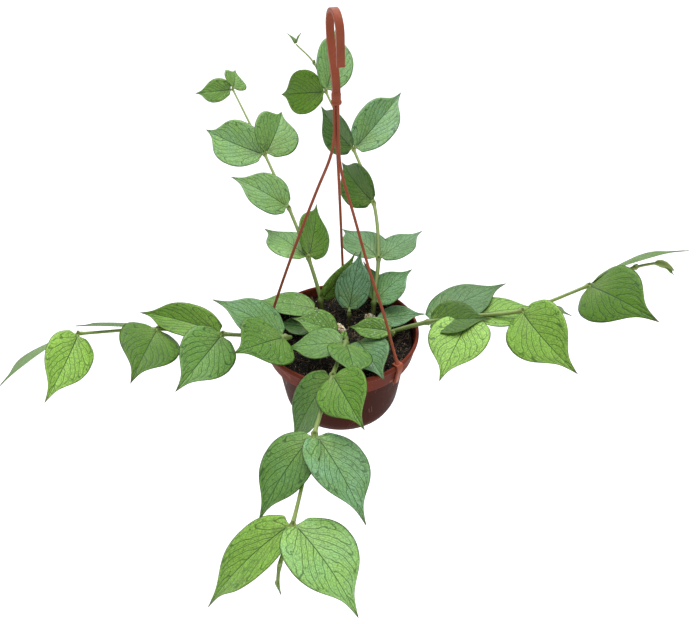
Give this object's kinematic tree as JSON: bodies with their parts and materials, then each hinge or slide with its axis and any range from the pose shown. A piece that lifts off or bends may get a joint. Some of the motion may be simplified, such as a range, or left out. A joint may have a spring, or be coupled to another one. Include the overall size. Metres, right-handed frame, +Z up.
{
  "type": "potted hoya",
  "caption": "Young hoya with long leafy stems of heart-shaped, drip-tipped leaves in a brown plastic hanging pot with a wire-thin plastic hanger and hook.",
  "frame": {"origin": "inside top of the hook, where the pot hangs", "axes": "+Z up; +X to the right of someone facing the front; +Y away from them, towards the two back stems"},
  "size_m": [0.6038, 0.6128, 0.358],
  "materials": {
    "pot_plastic": "satin moulded polypropylene, reddish brown",
    "hanger_plastic": "satin moulded polypropylene, a lighter reddish brown",
    "soil": "dark peat with pale specks",
    "leaf": "waxy green leaf with darker veins"
  },
  "bodies": {
    "root": {"pot": "pot_plastic", "soil": "soil", "hanger_hook": "hanger_plastic", "leg_right": "hanger_plastic", "leg_back": "hanger_plastic", "leg_left": "hanger_plastic", "vine_front": "leaf", "vine_left": "leaf", "vine_right": "leaf", "vine_back_left": "leaf", "vine_back_right": "leaf", "sprig_tall": "leaf", "sprig_left": "leaf", "sprig_middle": "leaf", "sprig_right": "leaf", "sprig_dark": "leaf", "sprig_front": "leaf", "sprig_low": "leaf"}
  },
  "joints": []
}
